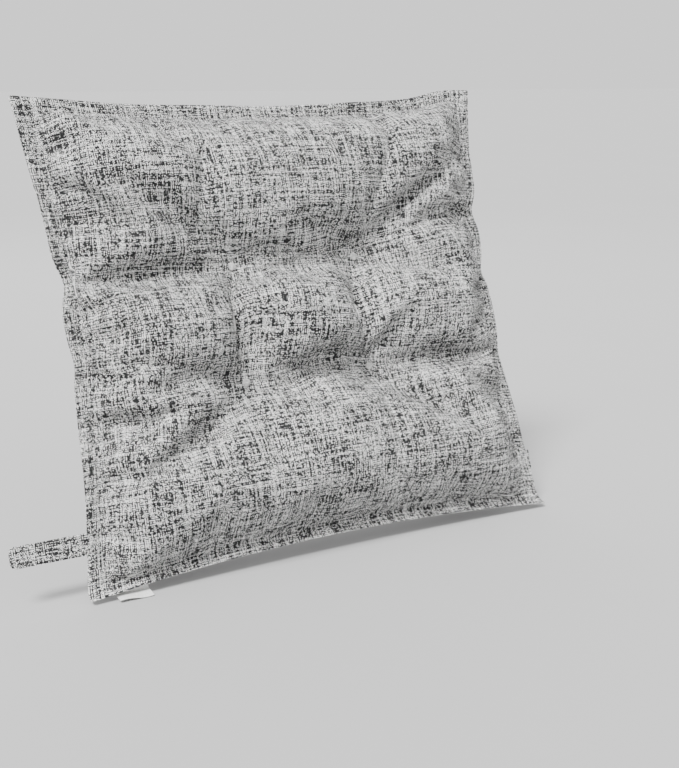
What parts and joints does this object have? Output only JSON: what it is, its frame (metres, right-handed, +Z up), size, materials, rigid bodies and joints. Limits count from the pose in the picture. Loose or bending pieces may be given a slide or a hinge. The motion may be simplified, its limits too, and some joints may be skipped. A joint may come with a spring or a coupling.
{
  "type": "back cushion",
  "caption": "Square tufted back cushion of slub-woven cloth with a flat stitched flange and hook-and-loop tabs, for the back of an office chair.",
  "frame": {"origin": "middle of the flat rear face, where the centre pillow rests on the chair back", "axes": "+Z up and +Y to the rear, with the cushion leaned back 20 degrees as on a chair; +X is to the right as seen from the front"},
  "size_m": [0.5715, 0.1757, 0.4249],
  "materials": {
    "slub_weave": "matt black and white slub weave",
    "strap_weave": "the same slub weave, folded flat and stitched",
    "fibre": "white polyester fibre",
    "thread": "grey twisted sewing thread",
    "hook_tape": "woven tape with stiff hooks",
    "loop_tape": "brushed loop pile",
    "label_satin": "light satin ribbon, blank"
  },
  "bodies": {
    "cushion": {"care_label_root": "label_satin", "fibre_filling": "fibre", "front_panel": "slub_weave", "rear_panel": "slub_weave", "strap_left_bartack": "thread", "strap_left_root": "strap_weave", "strap_right_bartack": "thread", "strap_right_root": "strap_weave", "topstitch_front": "thread", "topstitch_rear": "thread", "tuft_tack_front_lower_left": "thread", "tuft_tack_front_lower_right": "thread", "tuft_tack_front_upper_left": "thread", "tuft_tack_front_upper_right": "thread", "tuft_tack_rear_lower_left": "thread", "tuft_tack_rear_lower_right": "thread", "tuft_tack_rear_upper_left": "thread", "tuft_tack_rear_upper_right": "thread", "tuft_thread_lower_left": "thread", "tuft_thread_lower_right": "thread", "tuft_thread_upper_left": "thread", "tuft_thread_upper_right": "thread"},
    "strap_left_inner_half": {"strap_left_inner": "strap_weave", "strap_left_loop_patch": "loop_tape"},
    "strap_left_outer_half": {"strap_left_outer": "strap_weave", "strap_left_hook_patch": "hook_tape"},
    "strap_right_inner_half": {"strap_right_inner": "strap_weave", "strap_right_loop_patch": "loop_tape"},
    "strap_right_outer_half": {"strap_right_outer": "strap_weave", "strap_right_hook_patch": "hook_tape"},
    "care_label": {"care_label_flap": "label_satin"}
  },
  "joints": [
    {"name": "strap_left_swing", "type": "hinge", "parent": "cushion", "child": "strap_left_inner_half", "pos_m": [-0.24382, -0.09215, -0.15376], "axis": [0, -0.342, -0.9397], "range_deg": [-75, 84]},
    {"name": "strap_left_wrap", "type": "hinge", "parent": "strap_left_inner_half", "child": "strap_left_outer_half", "pos_m": [-0.27697, -0.09186, -0.15386], "axis": [0, -0.342, -0.9397], "range_deg": [0, 176]},
    {"name": "strap_right_swing", "type": "hinge", "parent": "cushion", "child": "strap_right_inner_half", "pos_m": [0.24382, -0.09215, -0.15376], "axis": [0, 0.342, 0.9397], "range_deg": [-153, 6]},
    {"name": "strap_right_wrap", "type": "hinge", "parent": "strap_right_inner_half", "child": "strap_right_outer_half", "pos_m": [0.25042, -0.06162, -0.16487], "axis": [0, 0.342, 0.9397], "range_deg": [0, 176]},
    {"name": "care_label_flip", "type": "hinge", "parent": "cushion", "child": "care_label", "pos_m": [-0.21, -0.1104, -0.19806], "axis": [-1, 0, 0], "range_deg": [-176, 44]}
  ]
}
